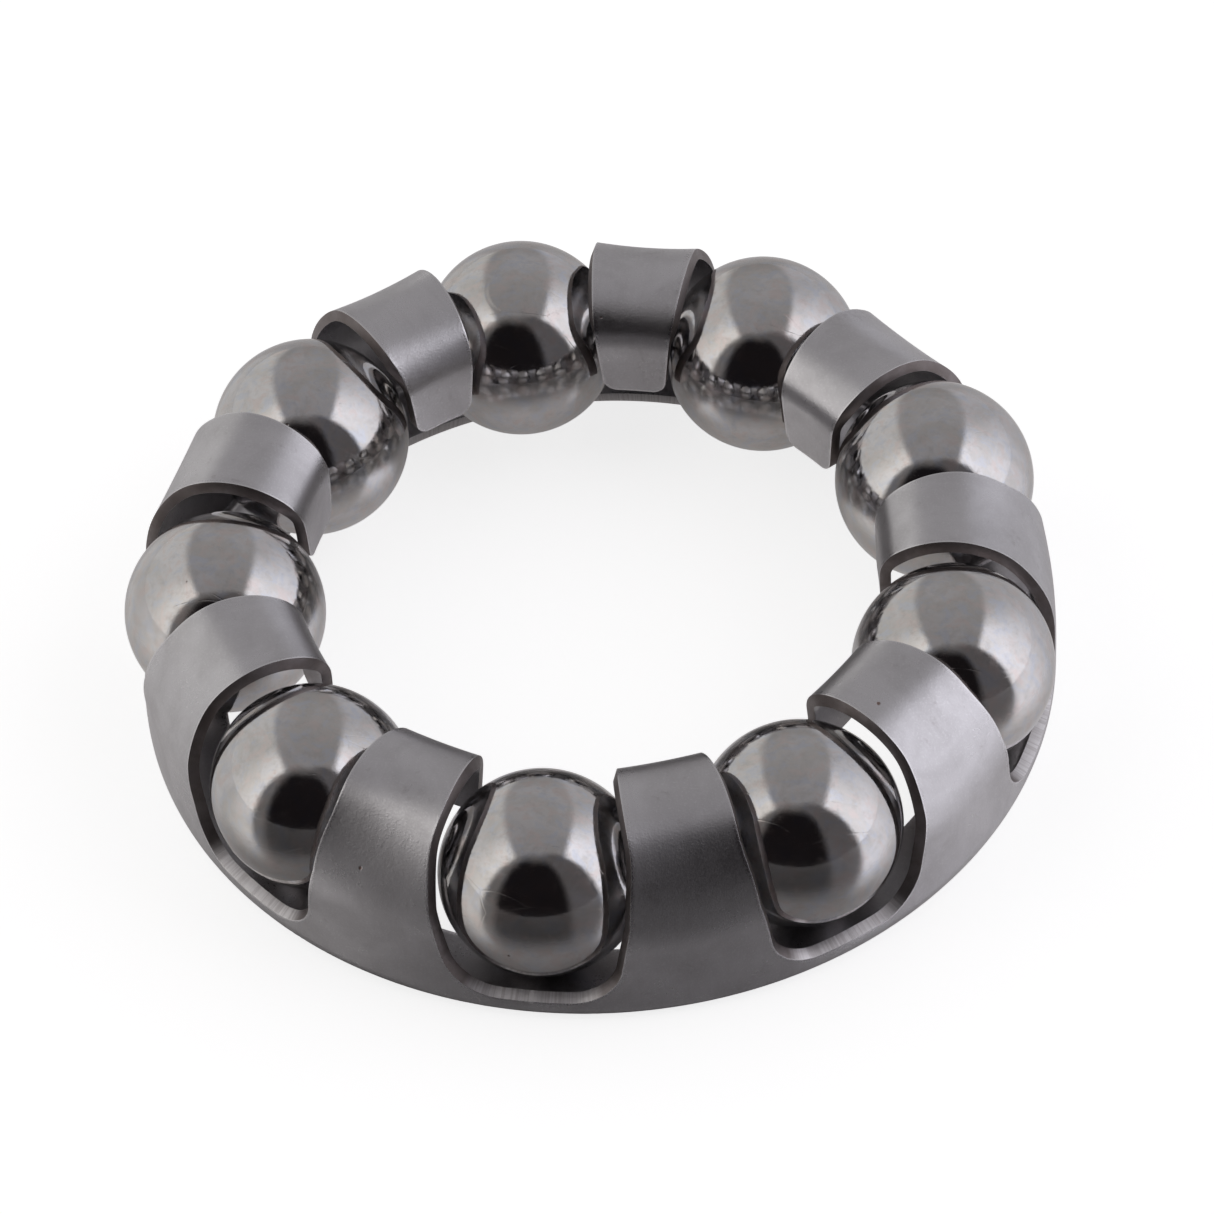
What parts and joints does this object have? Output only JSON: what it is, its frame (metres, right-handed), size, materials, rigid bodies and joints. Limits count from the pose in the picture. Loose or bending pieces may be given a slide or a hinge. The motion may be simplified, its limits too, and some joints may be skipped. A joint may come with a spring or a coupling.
{
  "type": "caged ball bearing ring",
  "caption": "Pressed steel cage ring with hooked fingers that hold loose polished steel balls, for a cup-and-cone bearing.",
  "frame": {"origin": "on the ring's axis, in the plane of the cage flange's flat underside", "axes": "+Z along the ring's axis, from the flat flange towards the hooked fingers; one ball centre lies on -Y"},
  "size_m": [0.0294, 0.0294, 0.0068],
  "materials": {
    "cage_steel": "satin, tumbled bare steel with burnished sheared edges",
    "ball_steel": "ground and polished bearing steel, faintly scuffed"
  },
  "bodies": {
    "cage": {"retainer_cage": "cage_steel"},
    "ball_1": {"ball_1": "ball_steel"},
    "ball_2": {"ball_2": "ball_steel"},
    "ball_3": {"ball_3": "ball_steel"},
    "ball_4": {"ball_4": "ball_steel"},
    "ball_5": {"ball_5": "ball_steel"},
    "ball_6": {"ball_6": "ball_steel"},
    "ball_7": {"ball_7": "ball_steel"},
    "ball_8": {"ball_8": "ball_steel"},
    "ball_9": {"ball_9": "ball_steel"}
  },
  "joints": [
    {"name": "ball_1_roll", "type": "hinge", "parent": "cage", "child": "ball_1", "pos_m": [0, -0.0117, 0.00362], "axis": [0, 0.7071, 0.7071], "continuous": true},
    {"name": "ball_2_roll", "type": "hinge", "parent": "cage", "child": "ball_2", "pos_m": [0.00752, -0.00896, 0.00362], "axis": [-0.4545, 0.5417, 0.7071], "continuous": true},
    {"name": "ball_3_roll", "type": "hinge", "parent": "cage", "child": "ball_3", "pos_m": [0.01152, -0.00203, 0.00362], "axis": [-0.6964, 0.1228, 0.7071], "continuous": true},
    {"name": "ball_4_roll", "type": "hinge", "parent": "cage", "child": "ball_4", "pos_m": [0.01013, 0.00585, 0.00362], "axis": [-0.6124, -0.3536, 0.7071], "continuous": true},
    {"name": "ball_5_roll", "type": "hinge", "parent": "cage", "child": "ball_5", "pos_m": [0.004, 0.01099, 0.00362], "axis": [-0.2418, -0.6645, 0.7071], "continuous": true},
    {"name": "ball_6_roll", "type": "hinge", "parent": "cage", "child": "ball_6", "pos_m": [-0.004, 0.01099, 0.00362], "axis": [0.2418, -0.6645, 0.7071], "continuous": true},
    {"name": "ball_7_roll", "type": "hinge", "parent": "cage", "child": "ball_7", "pos_m": [-0.01013, 0.00585, 0.00362], "axis": [0.6124, -0.3536, 0.7071], "continuous": true},
    {"name": "ball_8_roll", "type": "hinge", "parent": "cage", "child": "ball_8", "pos_m": [-0.01152, -0.00203, 0.00362], "axis": [0.6964, 0.1228, 0.7071], "continuous": true},
    {"name": "ball_9_roll", "type": "hinge", "parent": "cage", "child": "ball_9", "pos_m": [-0.00752, -0.00896, 0.00362], "axis": [0.4545, 0.5417, 0.7071], "continuous": true}
  ]
}
